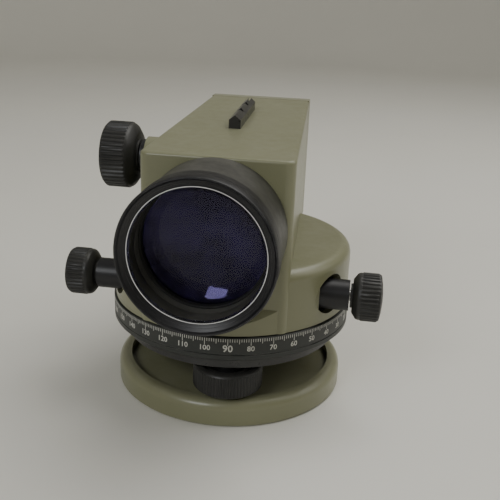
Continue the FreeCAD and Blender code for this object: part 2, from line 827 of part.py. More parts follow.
def domed_knob(radius, start, length, dome, y, z, shaft_radius, side):
    """Round knob on an X axis: bevelled inner end, straight grip, domed outer face."""
    face = knob_face_share * radius
    points = [(0, start), (knob_hub_share * radius, start),
              (knob_bevel_share * radius, start + knob_bevel_along * length),
              (radius, start + knob_grip_along * length), (radius, start + knob_grip_end * length),
              (face, start + length), (0, start + length)]
    outline = [Vector(side * along, y, z + across) for across, along in points]
    body = Part.Face(Part.makePolygon(outline + outline[:1])).revolve(Vector(0, y, z), Vector(1, 0, 0), 360)
    sphere_radius = (face ** 2 + dome ** 2) / (2 * dome)
    ball = Part.makeSphere(sphere_radius, Vector(side * (start + length + dome - sphere_radius), y, z))
    ends = sorted([side * (start + length), side * (start + length + 2 * dome)])
    cap = ball.common(rod_x(face, ends[0], ends[1], y, z))
    ends = sorted([side * (start - 1), side * (start + length / 2)])
    return one_solid(body.fuse(cap).cut(rod_x(shaft_radius, ends[0], ends[1], y, z)))


def focus_knob():
    return domed_knob(focus_knob_radius, focus_knob_start, focus_knob_length, focus_knob_dome,
                      focus_y, focus_z, focus_shaft_radius, -1)


def focus_bush():
    inside = -half_width(focus_y) + 2 * body_wall
    bush = rod_x(focus_bush_radius, -focus_boss_reach, inside, focus_y, focus_z)
    flange = rod_x(focus_bush_radius + focus_bush_flange_reach, -focus_boss_reach - focus_bush_flange,
                   -focus_boss_reach, focus_y, focus_z)
    bore = rod_x(focus_shaft_radius + running_fit, -focus_knob_start, inside + 1, focus_y, focus_z)
    return one_solid(bush.fuse(flange).cut(bore))


def focusing_cell():
    front = focus_y + cell_advance - cell_length
    tube = tube_y(cell_radius, cell_radius - cell_wall, front, front + cell_length)
    outside = -(cell_radius + rack_stand)
    step = math.pi * focus_module
    pitch_line = focus_z - pinion_pitch_radius
    root = pitch_line - tooth_root * focus_module
    web_reach = rack_web_share * rack_length / 2
    bar = block(outside - rack_width, outside, focus_y - rack_length / 2, focus_y + rack_length / 2,
                rack_foot, root)
    web = block(outside - loose_fit, -cell_radius + cell_wall + loose_fit, focus_y - web_reach,
                focus_y + web_reach, rack_foot, rack_foot + rack_width)
    cell = tube.fuse(bar).fuse(web)
    count = int(rack_length / 2 / step) - 1
    half = step / 4 - focus_backlash / 2
    crest = pitch_line + tooth_tip * focus_module
    for k in range(-count, count):
        middle = focus_y + (k + 0.5) * step
        foot = tooth_root_spread * half
        tip = tooth_tip_spread * half
        tooth = [Vector(outside - rack_width, middle + across, up) for across, up in
                 ((-foot, root - loose_fit), (foot, root - loose_fit), (tip, crest), (-tip, crest))]
        cell = cell.fuse(prism(tooth, Vector(rack_width, 0, 0)))
    return one_solid(cell)


def focusing_lens():
    middle = focus_y + cell_advance - cell_length / 2
    edge = focusing_lens_edge / 2
    disc = rod_y(cell_radius - cell_wall, middle - edge, middle + edge)
    radius = focusing_lens_curve * cell_radius
    for side in (-1, 1):
        centre = middle + side * (radius + edge - focusing_lens_hollow)
        disc = disc.cut(Part.makeSphere(radius, Vector(0, centre, sight_z)))
    return one_solid(disc)


def inner_barrel():
    """Fixed barrel behind the front wall that guides the focusing cell."""
    front = front_face_y + body_wall
    inner = cell_radius + running_fit
    outer = inner + inner_barrel_wall
    flange = inner_barrel_flange_radius
    throat = flange - 2 * inner_barrel_wall
    barrel = turned_y([(throat, front), (flange, front), (flange, front + inner_barrel_flange),
                       (throat + inner_barrel_wall, front + inner_barrel_flange),
                       (outer, inner_barrel_throat_y), (outer, inner_barrel_rear_y),
                       (inner, inner_barrel_rear_y), (inner, inner_barrel_throat_y)])
    reach = rack_web_share * rack_length / 2 + focus_travel + 2 * body_clearance
    slot = block(-2 * cell_radius, 0, focus_y - reach, focus_y + reach,
                 rack_foot - 2 * body_clearance, rack_foot + rack_width + 2 * body_clearance)
    return one_solid(barrel.cut(slot))


# ---------------------------------------------------------------- tangent drive
def worm_thread():
    """One helical thread whose crest faces the wheel at the middle of the worm."""
    length = worm_turns * worm_pitch
    root = worm_pitch_radius - thread_root * worm_module
    tip = worm_pitch_radius + thread_tip * worm_module
    half = worm_pitch / 4 - worm_backlash / 2
    foot = half + thread_foot_spread * worm_module
    crest = half - thread_tip_spread * worm_module
    helix = Part.makeHelix(worm_pitch, length, root)
    sunk = root - body_clearance
    points = [Vector(sunk, 0, -foot), Vector(tip, 0, -crest), Vector(tip, 0, crest), Vector(sunk, 0, foot)]
    section = Part.makePolygon(points + points[:1])
    return Part.Wire(helix).makePipeShell([section], True, True)


def worm_shaft():
    length = worm_turns * worm_pitch
    root = worm_pitch_radius - thread_root * worm_module
    core = Part.makeCylinder(root, length + 2 * worm_pitch, Vector(0, 0, -worm_pitch))
    worm = core.fuse(worm_thread())
    worm.translate(Vector(0, 0, -length / 2))
    worm.rotate(Vector(0, 0, 0), Vector(0, 1, 0), 90)
    worm.rotate(Vector(0, 0, 0), Vector(1, 0, 0), 90)
    worm.translate(Vector(0, tangent_y, tangent_z))
    end = tangent_knob_start + tangent_knob_length / 2
    return one_solid(worm.fuse(rod_x(worm_shaft_radius, -end, end, tangent_y, tangent_z)))


def worm_wheel():
    outline = tooth_outline(wheel_teeth, wheel_pitch_radius, worm_module, worm_backlash,
                            -math.pi / 2 + math.pi / wheel_teeth)
    wheel = prism([Vector(a, b, wheel_bottom) for a, b in outline], Vector(0, 0, wheel_thickness))
    return one_solid(wheel.cut(rod_z(spindle_radius + running_fit, wheel_bottom - 1, wheel_top + 1)))


def tangent_knob(side):
    return domed_knob(tangent_knob_radius, tangent_knob_start, tangent_knob_length, tangent_knob_dome,
                      tangent_y, tangent_z, worm_shaft_radius, side)


def tangent_sleeve(side):
    ends = sorted([side * tangent_sleeve_start, side * tangent_sleeve_end])
    sleeve = rod_x(tangent_sleeve_radius, ends[0], ends[1], tangent_y, tangent_z)
    bore = rod_x(worm_shaft_radius + running_fit, ends[0] - 1, ends[1] + 1, tangent_y, tangent_z)
    return one_solid(sleeve.cut(bore))


# ---------------------------------------------------------------- compensator
def compensator_frame():
    front = compensator_front_y
    rear = front + compensator_length
    outer = compensator_half_width
    inner = outer - compensator_wall
    frame = block(-inner, inner, front, rear, shelf_bottom, shelf_top)
    foot_rear = math.sqrt((drum_radius - body_wall) ** 2 - outer ** 2) - 2 * body_clearance
    waist = box_bottom + body_wall + 2 * body_clearance
    for side in (-1, 1):
        ends = sorted([side * inner, side * outer])
        frame = frame.fuse(block(ends[0], ends[1], front, rear, waist, bridge_top))
        frame = frame.fuse(block(ends[0], ends[1], front, foot_rear, floor_top, waist))
    frame = frame.fuse(block(-inner, inner, pendulum_y - bridge_width / 2, pendulum_y + bridge_width / 2,
                             bridge_bottom, bridge_top))
    cup = damper_radius + damper_gap
    frame = frame.fuse(tube_z(cup + damper_wall, cup, shelf_top, shelf_top + damper_radius, 0, pendulum_y))
    return one_solid(frame)


def fixed_prisms():
    """Two right-angle prisms that stand before and behind the pendulum."""
    reach = compensator_half_width - compensator_wall
    front = compensator_front_y + prism_inset
    rear = compensator_front_y + compensator_length - prism_inset
    shapes = []
    for edge, way in ((front, 1), (rear, -1)):
        outline = [Vector(-reach, edge, prism_z), Vector(-reach, edge + way * prism_depth, prism_z),
                   Vector(-reach, edge + way * prism_top_share * prism_depth, prism_z + prism_height),
                   Vector(-reach, edge, prism_z + prism_height)]
        shapes.append(prism(outline, Vector(2 * reach, 0, 0)))
    return group(shapes)


def pendulum_frame():
    inner = pendulum_half_width - pendulum_arm
    half = pendulum_prism_depth / 2
    front = pendulum_y - pendulum_bar / 2
    rear = pendulum_y + pendulum_bar / 2
    frame = block(-pendulum_half_width, pendulum_half_width, front, rear, pendulum_top - pendulum_beam,
                  pendulum_top)
    for side in (-1, 1):
        ends = sorted([side * inner, side * pendulum_half_width])
        frame = frame.fuse(block(ends[0], ends[1], front, rear, pendulum_low, pendulum_top))
    tray = block(-pendulum_half_width, pendulum_half_width, pendulum_y - half, pendulum_y + half,
                 pendulum_low - pendulum_tray, pendulum_low)
    piston = rod_z(damper_radius, shelf_top + damper_gap, pendulum_low - pendulum_tray / 2, 0, pendulum_y)
    return one_solid(frame.fuse(tray).fuse(piston))


def pendulum_prism():
    reach = pendulum_half_width - pendulum_arm
    half = pendulum_prism_depth / 2
    top = pendulum_low + pendulum_prism_height
    outline = [Vector(-reach, pendulum_y + across, up) for across, up in
               ((-half, pendulum_low), (half, pendulum_low), (half / 2, top), (-half / 2, top))]
    return prism(outline, Vector(2 * reach, 0, 0))


def suspension_wires():
    low = pendulum_top + body_clearance
    x = pendulum_half_width - pendulum_arm
    places = [(sx * x, pendulum_y + sy * wire_half_spread) for sx in (-1, 1) for sy in (-1, 1)]
    return group([rod_z(wire_radius, low, bridge_bottom, x, y) for x, y in places])


# ---------------------------------------------------------------- eyepiece and reticle
def eyepiece_mount():
    mount = tube_y(mount_radius, mount_bore_radius, mount_front_y, mount_rear_y)
    flange = tube_y(mount_flange_radius, mount_bore_radius, cover_rear_y, cover_rear_y + mount_flange)
    reach = 2 * mount_radius
    mount = mount.fuse(flange).cut(rod_x(reticle_screw_radius, -reach, reach, reticle_middle_y, sight_z))
    return one_solid(mount.cut(rod_z(reticle_screw_radius, sight_z - reach, sight_z + reach,
                                     0, reticle_middle_y)))


def reticle_cell():
    rear = reticle_front_y + reticle_cell_length
    ring = tube_y(mount_bore_radius - loose_fit, reticle_radius - reticle_seat, reticle_front_y, rear)
    return one_solid(ring.cut(rod_y(reticle_radius, reticle_front_y + reticle_seat, rear + 1)))


def reticle_glass():
    front = reticle_front_y + reticle_seat
    return rod_y(reticle_radius, front, front + reticle_thickness)


def reticle_screws():
    y = reticle_middle_y
    inner = mount_bore_radius - loose_fit
    outer = mount_radius + reticle_screw_stand
    return group([rod_x(reticle_screw_radius, inner, outer, y, sight_z),
                  rod_x(reticle_screw_radius, -outer, -inner, y, sight_z),
                  rod_z(reticle_screw_radius, sight_z + inner, sight_z + outer, 0, y),
                  rod_z(reticle_screw_radius, sight_z - outer, sight_z - inner, 0, y)])


def eyepiece_tube():
    inner = eyepiece_radius - eyepiece_wall
    return turned_y([(inner, eyepiece_start_y), (eyepiece_radius, eyepiece_start_y),
                     (eyepiece_radius, eyepiece_cap_front), (eyepiece_cap_radius, eyepiece_cap_front),
                     (eyepiece_cap_radius, eyepiece_cap_rear), (inner, eyepiece_cap_rear)])


def field_lens():
    front = eyepiece_start_y + eyepiece_lens_inset
    return rod_y(eyepiece_radius - eyepiece_wall, front, front + field_lens_length)


def eye_lens():
    radius = eyepiece_radius - eyepiece_wall
    rear = eyepiece_cap_rear - eyepiece_lens_inset
    lens = bulged_disc(radius, radius, eye_lens_bulge, rear - eye_lens_length, rear)
    return lens.mirror(Vector(0, rear - eye_lens_length / 2, 0), Vector(0, 1, 0))


def diopter_ring():
    inner = mount_radius + running_fit
    ring = tube_y(diopter_radius, inner, diopter_front_y, diopter_rear_y)
    lip = tube_y(inner + diopter_lip, mount_bore_radius + loose_fit, mount_rear_y + body_clearance,
                 diopter_rear_y)
    return one_solid(ring.fuse(lip))


def eyecup():
    """Soft cup with a waisted wall that flares out to a lip."""
    front = eyepiece_cap_rear
    rear = front + eyecup_length
    flare = rear - eyecup_flare
    inner = eyepiece_radius - eyepiece_wall
    root = eyepiece_cap_radius - eyecup_edge
    waist = eyepiece_cap_radius - eyecup_waist
    return turned_y([(inner, front), (root, front), (root, front + eyecup_root), (waist, flare),
                     (eyepiece_cap_radius + eyecup_edge, rear), (eyepiece_cap_radius - eyecup_wall, rear),
                     (waist - eyecup_wall - eyecup_slope, flare),
                     (inner, front + eyecup_root - eyecup_slope)])


# ---------------------------------------------------------------- sight, level and mirror
def sight_screw_places():
    return (sight_front_y + sight_length / 3, sight_front_y + 2 * sight_length / 3)


def sight_rail():
    """Five-sided open sight that lies along the sloping roof."""
    half = sight_width / 2
    rear = sight_front_y + sight_length
    outline = [(-half, 0), (half, 0), (half, sight_side_height), (0, sight_ridge_height),
               (-half, sight_side_height)]
    ends = []
    for y in (sight_front_y, rear):
        points = [Vector(sight_x + across, y, roof_height(y) + up) for across, up in outline]
        ends.append(Part.makePolygon(points + points[:1]))
    rail = Part.makeLoft(ends, True, True)
    notch = sight_notch_width / 2
    shelf = roof_height(rear) + sight_side_height
    rail = rail.cut(block(sight_x - notch, sight_x + notch, rear - sight_notch_length, rear + 1,
                          shelf, shelf + sight_ridge_height))
    for y in sight_screw_places():
        seat = roof_height(y) + sight_side_height - sight_screw_sink
        rail = rail.cut(rod_z(sight_screw_head_radius + loose_fit, seat, seat + sight_ridge_height,
                              sight_x, y))
        rail = rail.cut(rod_z(sight_screw_radius, seat - sight_ridge_height, seat + 1, sight_x, y))
    return one_solid(rail)


def sight_screws():
    half = screw_slot_width / 2
    screws = []
    for y in sight_screw_places():
        seat = roof_height(y) + sight_side_height - sight_screw_sink
        head = rod_z(sight_screw_head_radius, seat, seat + sight_screw_head, sight_x, y)
        shank = rod_z(sight_screw_radius, roof_height(y) + loose_fit, seat, sight_x, y)
        slot = block(sight_x - sight_screw_head_radius, sight_x + sight_screw_head_radius, y - half, y + half,
                     seat + screw_slot_depth, seat + sight_ridge_height)
        screws.append(one_solid(head.fuse(shank).cut(slot)))
    return group(screws)


def level_case():
    case = rod_z(level_radius, level_base, level_top, level_x, level_y)
    near = mirror_half_width + body_clearance
    front = mirror_pin_y - level_post_half
    low = level_top - level_ear_height
    for side in (-1, 1):
        ends = sorted([level_x + side * near, level_x + side * (near + mirror_ear)])
        case = case.fuse(block(ends[0], ends[1], front, level_y, low, level_top))
        case = case.fuse(block(ends[0], ends[1], front, mirror_pin_y + level_post_half,
                               low, mirror_pin_z + level_post_half))
    case = case.cut(rod_z(vial_radius, level_top - vial_height, level_top + 1, level_x, level_y))
    reach = 2 * level_radius
    return one_solid(case.cut(rod_x(mirror_pin_radius, level_x - reach, level_x + reach,
                                    mirror_pin_y, mirror_pin_z)))


def level_vial():
    high = level_top - vial_sink
    vial = rod_z(vial_radius, level_top - vial_height, high, level_x, level_y)
    return round_edges(vial, vial_edge_round, at_height(high))


def mirror_pin():
    reach = mirror_half_width + body_clearance + mirror_ear
    return rod_x(mirror_pin_radius, level_x - reach, level_x + reach, mirror_pin_y, mirror_pin_z)


def tilted(shape):
    """Lean a plate that was drawn flat over the level up to its working angle."""
    shape.rotate(Vector(0, mirror_pin_y, mirror_pin_z), Vector(1, 0, 0), mirror_working_angle)
    return shape


def mirror_plate(inset, front, rear, low, high):
    return block(level_x - mirror_half_width + inset, level_x + mirror_half_width - inset,
                 mirror_pin_y + front, mirror_pin_y + rear, mirror_pin_z + low, mirror_pin_z + high)


def mirror_frame():
    half = mirror_thickness / 2
    plate = mirror_plate(0, 0, mirror_length, -half, half)
    barrel = rod_x(mirror_thickness, level_x - mirror_half_width, level_x + mirror_half_width,
                   mirror_pin_y, mirror_pin_z)
    pocket = mirror_plate(mirror_rim, mirror_root, mirror_length - mirror_rim, -mirror_thickness, 0)
    reach = 2 * level_radius
    bore = rod_x(mirror_pin_radius + running_fit, level_x - reach, level_x + reach,
                 mirror_pin_y, mirror_pin_z)
    return tilted(one_solid(plate.fuse(barrel).cut(pocket).cut(bore)))


def mirror_glass():
    return tilted(mirror_plate(mirror_rim, mirror_root, mirror_length - mirror_rim, -mirror_thickness / 2, 0))


# ---------------------------------------------------------------- the assembly
parts = {
    "base_plate": base_plate(),
    "tripod_bush": tripod_bush(),
    "spring_plate": spring_plate(),
    "tribrach_plate": tribrach_plate(),
    "foot_bushes": foot_bushes(),
    "axis_spindle": axis_spindle(),
    "axis_nut": axis_nut(),
    "horizontal_circle": horizontal_circle(),
    "housing": housing(),
    "floor_plate": floor_plate(),
    "floor_screws": floor_screws(),
    "axis_bush": axis_bush(),
    "cover_gasket": cover_gasket(),
    "rear_cover": rear_cover(),
    "rear_cover_screws": rear_cover_screws(),
    "objective_tube": objective_tube(),
    "objective_bezel": objective_bezel(),
    "lens_retaining_ring": lens_retaining_ring(),
    "objective_front_lens": objective_front_lens(),
    "objective_rear_lens": objective_rear_lens(),
    "inner_barrel": inner_barrel(),
    "focus_bush": focus_bush(),
    "focus_shaft": focus_shaft(),
    "focus_knob": focus_knob(),
    "focusing_cell": focusing_cell(),
    "focusing_lens": focusing_lens(),
    "worm_shaft": worm_shaft(),
    "worm_wheel": worm_wheel(),
    "tangent_knob_left": tangent_knob(-1),
    "tangent_knob_right": tangent_knob(1),
    "tangent_sleeve_left": tangent_sleeve(-1),
    "tangent_sleeve_right": tangent_sleeve(1),
    "compensator_frame": compensator_frame(),
    "fixed_prisms": fixed_prisms(),
    "pendulum_frame": pendulum_frame(),
    "pendulum_prism": pendulum_prism(),
    "suspension_wires": suspension_wires(),
    "eyepiece_mount": eyepiece_mount(),
    "reticle_cell": reticle_cell(),
    "reticle_glass": reticle_glass(),
    "reticle_screws": reticle_screws(),
    "eyepiece_tube": eyepiece_tube(),
    "field_lens": field_lens(),
    "eye_lens": eye_lens(),
    "diopter_ring": diopter_ring(),
    "eyecup": eyecup(),
    "sight_rail": sight_rail(),
    "sight_screws": sight_screws(),
    "level_case": level_case(),
    "level_vial": level_vial(),
    "mirror_pin": mirror_pin(),
    "mirror_frame": mirror_frame(),
    "mirror_glass": mirror_glass(),
}
for number, (x, y) in enumerate(foot_places(), 1):
    parts["foot_stem_%d" % number] = foot_stem(x, y)
    parts["foot_knob_%d" % number] = foot_knob(x, y)

os.makedirs("parts", exist_ok=True)
for name, shape in parts.items():
    if not shape.isValid() or not shape.Solids:
        raise ValueError("%s is not a sound solid" % name)
    shape.exportStep("parts/%s.step" % name)
    print("%-22s %2d solid(s) %10.1f mm3" % (name, len(shape.Solids), shape.Volume))
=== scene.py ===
import json
from math import cos, pi, radians, sin
import bpy
import bmesh
from mathutils import Matrix, Vector


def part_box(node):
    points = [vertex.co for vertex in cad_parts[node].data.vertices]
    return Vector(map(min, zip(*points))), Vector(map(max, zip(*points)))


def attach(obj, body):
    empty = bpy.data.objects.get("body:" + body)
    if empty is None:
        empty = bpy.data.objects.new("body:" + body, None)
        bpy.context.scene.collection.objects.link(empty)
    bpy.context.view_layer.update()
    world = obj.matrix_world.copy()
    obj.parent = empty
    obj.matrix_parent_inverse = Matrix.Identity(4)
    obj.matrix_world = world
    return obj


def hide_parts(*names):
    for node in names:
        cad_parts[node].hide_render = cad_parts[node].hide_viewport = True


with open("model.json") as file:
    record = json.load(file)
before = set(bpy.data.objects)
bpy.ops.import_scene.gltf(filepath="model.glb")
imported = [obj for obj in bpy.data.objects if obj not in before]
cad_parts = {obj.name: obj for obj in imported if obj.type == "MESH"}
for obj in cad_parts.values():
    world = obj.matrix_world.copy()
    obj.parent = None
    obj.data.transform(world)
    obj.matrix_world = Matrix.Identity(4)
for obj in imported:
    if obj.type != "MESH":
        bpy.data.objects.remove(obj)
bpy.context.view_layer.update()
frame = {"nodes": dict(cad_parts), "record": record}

mm = 0.001
print("automatic level: frame loaded,", len(frame["nodes"]), "nodes")


def boxOf(node):
    low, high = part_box(node)
    return Vector(low), Vector(high)


def centreOf(node):
    low, high = boxOf(node)
    return (low + high) / 2


# small mesh helpers

def axisTurn(axis):
    # turns a shape drawn along +Z so that it runs along the given axis
    turns = {"z": Matrix.Identity(3), "y": Matrix.Rotation(-pi / 2, 3, "X"),
             "-y": Matrix.Rotation(pi / 2, 3, "X"), "x": Matrix.Rotation(pi / 2, 3, "Y"),
             "-x": Matrix.Rotation(-pi / 2, 3, "Y")}
    return turns[axis].to_4x4()


def cleanMesh(bm):
    bmesh.ops.remove_doubles(bm, verts=bm.verts, dist=1e-6)
    bmesh.ops.dissolve_degenerate(bm, edges=bm.edges, dist=1e-7)
    bmesh.ops.recalc_face_normals(bm, faces=bm.faces)


def placeMesh(bm, axis, centre):
    bmesh.ops.transform(bm, matrix=Matrix.Translation(centre) @ axisTurn(axis), verts=bm.verts)


def turnedShape(outline, steps, axis, centre, closed=True):
    # spins an outline of (radius, along) in millimetres round the axis
    bm = bmesh.new()
    verts = [bm.verts.new((radius * mm, 0, along * mm)) for radius, along in outline]
    edges = [bm.edges.new(pair) for pair in zip(verts, verts[1:])]
    if closed:
        edges.append(bm.edges.new((verts[-1], verts[0])))
    bmesh.ops.spin(bm, geom=verts + edges, cent=(0, 0, 0), axis=(0, 0, 1), dvec=(0, 0, 0), angle=2 * pi,
                   steps=steps, use_merge=True)
    cleanMesh(bm)
    placeMesh(bm, axis, centre)
    return bm


def ribbedShape(levels, ribs, axis, centre):
    # stacks rings of (radius, along, rib depth) in millimetres; ribs stand on the rings that have a depth
    bm = bmesh.new()
    places = bm.verts.layers.float_vector.new("place")
    ring = bmesh.ops.create_circle(bm, segments=4 * ribs, radius=1)["verts"]
    edges = list(bm.edges)
    share = (0.0, 1.0, 1.0, 0.0)

    def shape(verts, radius, along, depth):
        for vert in verts:
            angle = Vector((vert.co.x, vert.co.y)).angle_signed(Vector((1, 0)), 0)
            step = round(angle / (2 * pi) * 4 * ribs)
            turn = step / (4 * ribs) * 2 * pi
            size = (radius - depth * (1 - share[step % 4])) * mm
            vert[places] = Vector((size * cos(turn), size * sin(turn), along * mm))

    shape(ring, *levels[0])
    for level in levels[1:]:
        made = bmesh.ops.extrude_edge_only(bm, edges=edges)["geom"]
        ring = [item for item in made if isinstance(item, bmesh.types.BMVert)]
        edges = [item for item in made if isinstance(item, bmesh.types.BMEdge)]
        shape(ring, *level)
    for vert in bm.verts:
        vert.co = vert[places]
    cleanMesh(bm)
    placeMesh(bm, axis, centre)
    return bm


def addBar(bm, size, place, turn=None):
    # one small cuboid, size and place in millimetres
    matrix = Matrix.Translation(Vector(place) * mm) @ (turn or Matrix.Identity(4)) @ Matrix.Diagonal(
        (size[0] * mm, size[1] * mm, size[2] * mm, 1))
    return bmesh.ops.create_cube(bm, size=1, matrix=matrix)["verts"]


def finishPiece(name, bm, body, material, nodes=(), smooth=True, sharp=35):
    mesh = bpy.data.meshes.new(name)
    if smooth:
        for face in bm.faces:
            face.smooth = True
        for edge in bm.edges:
            if len(edge.link_faces) == 2 and edge.calc_face_angle(0) > radians(sharp):
                edge.smooth = False
    bm.to_mesh(mesh)
    bm.free()
    piece = bpy.data.objects.new(name, mesh)
    bpy.context.scene.collection.objects.link(piece)
    mesh.materials.append(material)
    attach(piece, body)
    if nodes:
        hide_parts(*nodes)
    return piece


# materials: each finish is one dictionary, read by one builder

def buildFinish(name, look):
    material = bpy.data.materials.new(name)
    material.use_nodes = True
    tree = material.node_tree
    nodes, links = tree.nodes, tree.links
    shader = nodes["Principled BSDF"]
    coords = nodes.new("ShaderNodeTexCoord")
    mapping = nodes.new("ShaderNodeMapping")
    links.new(coords.outputs["Object"], mapping.inputs["Vector"])

    def noise(scale, detail=3.0, rough=0.55, stretch=None):
        source = mapping
        if stretch:
            source = nodes.new("ShaderNodeMapping")
            source.inputs["Scale"].default_value = stretch
            links.new(coords.outputs["Object"], source.inputs["Vector"])
        texture = nodes.new("ShaderNodeTexNoise")
        texture.inputs["Scale"].default_value = scale
        texture.inputs["Detail"].default_value = detail
        texture.inputs["Roughness"].default_value = rough
        links.new(source.outputs["Vector"], texture.inputs["Vector"])
        return texture.outputs["Fac"]

    def ramp(value, low, high, toLow=0.0, toHigh=1.0):
        node = nodes.new("ShaderNodeMapRange")
        node.inputs["From Min"].default_value = low
        node.inputs["From Max"].default_value = high
        node.inputs["To Min"].default_value = toLow
        node.inputs["To Max"].default_value = toHigh
        links.new(value, node.inputs["Value"])
        return node.outputs["Result"]

    def mixColour(factor, first, second):
        node = nodes.new("ShaderNodeMix")
        node.data_type = "RGBA"
        links.new(factor, node.inputs[0])
        for value, socket in ((first, node.inputs[6]), (second, node.inputs[7])):
            if hasattr(value, "links"):
                links.new(value, socket)
            else:
                socket.default_value = (*value, 1)
        return node.outputs[2]

    def multiply(first, second):
        node = nodes.new("ShaderNodeMath")
        node.operation = "MULTIPLY"
        links.new(first, node.inputs[0])
        if hasattr(second, "links"):
            links.new(second, node.inputs[1])
        else:
            node.inputs[1].default_value = second
        return node.outputs[0]

    patches = ramp(noise(look["patchScale"], 4), 0.3, 0.7)
    colour = mixColour(patches, look["colour"], look["second"])
    speckle = ramp(noise(look.get("speckScale", 2600), 2), 0.62, 0.72)
    colour = mixColour(multiply(speckle, look.get("speck", 0.25)), colour,
                       look.get("speckColour", look["second"]))
    rough = ramp(noise(look.get("roughScale", 220), 5, 0.65, look.get("stretch")), 0.25, 0.75,
                 *look["rough"])
    geometry = nodes.new("ShaderNodeNewGeometry")
    if "edge" in look:  # bare or polished edges
        bevel = nodes.new("ShaderNodeBevel")
        bevel.samples = 4
        bevel.inputs["Radius"].default_value = look.get("edgeWidth", 0.5) * mm
        compare = nodes.new("ShaderNodeVectorMath")
        compare.operation = "DOT_PRODUCT"
        links.new(bevel.outputs["Normal"], compare.inputs[0])
        links.new(geometry.outputs["Normal"], compare.inputs[1])
        edges = ramp(compare.outputs["Value"], 0.985, 0.9)
        worn = multiply(edges, ramp(noise(look.get("wearScale", 180), 6, 0.7), 0.45, 0.62))
        colour = mixColour(multiply(worn, look["edgeAmount"]), colour, look["edge"])
    if "dustAndTopLight" in look:  # lightens faces that look up: settled dust together with a painted top highlight
        split = nodes.new("ShaderNodeSeparateXYZ")
        links.new(geometry.outputs["Normal"], split.inputs[0])
        settledAndTopLit = multiply(ramp(split.outputs["Z"], 0.5, 1.0),
                           ramp(noise(90, 6, 0.7), 0.35, 0.75, 0.15, 1.0))
        colour = mixColour(multiply(settledAndTopLit, look["dustAndTopLight"]), colour,
                           look.get("dustColour", (0.42, 0.41, 0.37)))
    links.new(colour, shader.inputs["Base Color"])
    links.new(rough, shader.inputs["Roughness"])
    height = noise(look["grainScale"], look.get("grainDetail", 3), 0.6, look.get("stretch"))
    fine = multiply(noise(look["grainScale"] * 4.3, 2), 0.35)
    total = nodes.new("ShaderNodeMath")
    total.operation = "ADD"
    links.new(height, total.inputs[0])
    links.new(fine, total.inputs[1])
    bump = nodes.new("ShaderNodeBump")
    bump.inputs["Strength"].default_value = look["bump"]
    bump.inputs["Distance"].default_value = look.get("bumpHeight", 0.05) * mm
    links.new(total.outputs[0], bump.inputs["Height"])
    links.new(bump.outputs["Normal"], shader.inputs["Normal"])
    for socket, value in look.get("shader", {}).items():
        shader.inputs[socket].default_value = value
    return material
